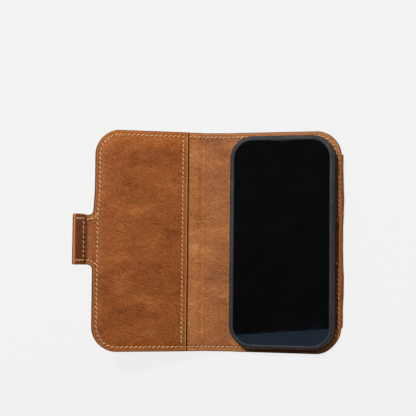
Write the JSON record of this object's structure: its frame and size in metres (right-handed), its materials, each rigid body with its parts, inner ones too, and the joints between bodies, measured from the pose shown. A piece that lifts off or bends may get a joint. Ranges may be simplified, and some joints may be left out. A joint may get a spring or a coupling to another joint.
{
  "type": "phone wallet case",
  "caption": "Leather folio phone case with a bumper shell, a slip pocket and a magnetic closing tab, shown open with a phone in its shell.",
  "frame": {"origin": "on the back cover's outer face, under the middle of the phone shell", "axes": "+X across the open folio towards the phone's right side, +Y towards the phone's top, +Z out of the back cover towards the viewer"},
  "size_m": [0.1836, 0.158, 0.0558],
  "materials": {
    "outer_leather": "brown crazy-horse leather, satin, fine pebbled grain",
    "lining_leather": "lighter brown leather, fine grain",
    "pocket_leather": "brown leather, satin, creased grain",
    "board": "pressed fibre board",
    "thread": "light tan waxed polyester thread",
    "magnet": "nickel-plated magnet",
    "adhesive": "clear bonding film",
    "shell_plastic": "matt black polycarbonate",
    "microfibre": "dark grey microfibre",
    "shell_rubber": "matt dark grey TPU",
    "phone_metal": "dark anodised aluminium",
    "phone_glass": "black glass over a dark screen",
    "camera_metal": "dark anodised aluminium",
    "lens_glass": "coated lens glass",
    "mesh_metal": "fine dark mesh"
  },
  "bodies": {
    "back_cover": {"back_cover_leather": "outer_leather", "back_cover_board": "board", "back_cover_lining": "lining_leather", "back_turned_edge": "outer_leather", "back_cover_stitching": "thread", "keeper_magnet": "magnet", "shell_adhesive": "adhesive", "shell_back_plate": "shell_plastic", "shell_liner": "microfibre", "shell_bumper": "shell_rubber", "camera_guard": "shell_rubber"},
    "spine": {"spine_leather": "outer_leather", "spine_lining": "lining_leather", "spine_stitching": "thread"},
    "front_cover": {"front_cover_leather": "outer_leather", "front_cover_board": "board", "front_cover_lining": "lining_leather", "pocket_panel": "pocket_leather", "front_cover_stitching": "thread", "front_strip_stitching": "thread", "pocket_edge_stitching": "thread"},
    "tab_flap": {"tab_leather": "outer_leather", "tab_lining": "lining_leather", "tab_magnet": "magnet", "tab_stitching": "thread"},
    "phone": {"phone_frame": "phone_metal", "phone_display": "phone_glass", "phone_back_glass": "phone_glass", "phone_camera_island": "camera_metal", "phone_camera_lenses": "lens_glass", "phone_earpiece": "mesh_metal"},
    "side_button": {"side_button_cover": "shell_rubber"},
    "volume_up": {"volume_up_cover": "shell_rubber"},
    "volume_down": {"volume_down_cover": "shell_rubber"},
    "action_button": {"action_button_cover": "shell_rubber"}
  },
  "joints": [
    {"name": "spine_fold", "type": "hinge", "parent": "back_cover", "child": "spine", "pos_m": [-0.04, 0, 0.00105], "axis": [0, -1, 0], "range_deg": [-80, 100]},
    {"name": "cover_fold", "type": "hinge", "parent": "spine", "child": "front_cover", "pos_m": [-0.05822, 0, 0.00426], "axis": [0, -1, 0], "range_deg": [-73, 108]},
    {"name": "tab_fold", "type": "hinge", "parent": "front_cover", "child": "tab_flap", "pos_m": [-0.13503, 0, 0.04511], "axis": [0, -1, 0], "range_deg": [-58, 56]},
    {"name": "phone_lift", "type": "slide", "parent": "back_cover", "child": "phone", "axis": [0, 0, 1], "range_m": [0, 0.03]},
    {"name": "side_button_press", "type": "slide", "parent": "back_cover", "child": "side_button", "axis": [-1, 0, 0], "range_m": [0, 0.0004], "stiffness_N_per_m": 1500},
    {"name": "volume_up_press", "type": "slide", "parent": "back_cover", "child": "volume_up", "axis": [1, 0, 0], "range_m": [0, 0.0004], "stiffness_N_per_m": 1500},
    {"name": "volume_down_press", "type": "slide", "parent": "back_cover", "child": "volume_down", "axis": [1, 0, 0], "range_m": [0, 0.0004], "stiffness_N_per_m": 1500},
    {"name": "action_button_press", "type": "slide", "parent": "back_cover", "child": "action_button", "axis": [1, 0, 0], "range_m": [0, 0.0004], "stiffness_N_per_m": 1500}
  ]
}
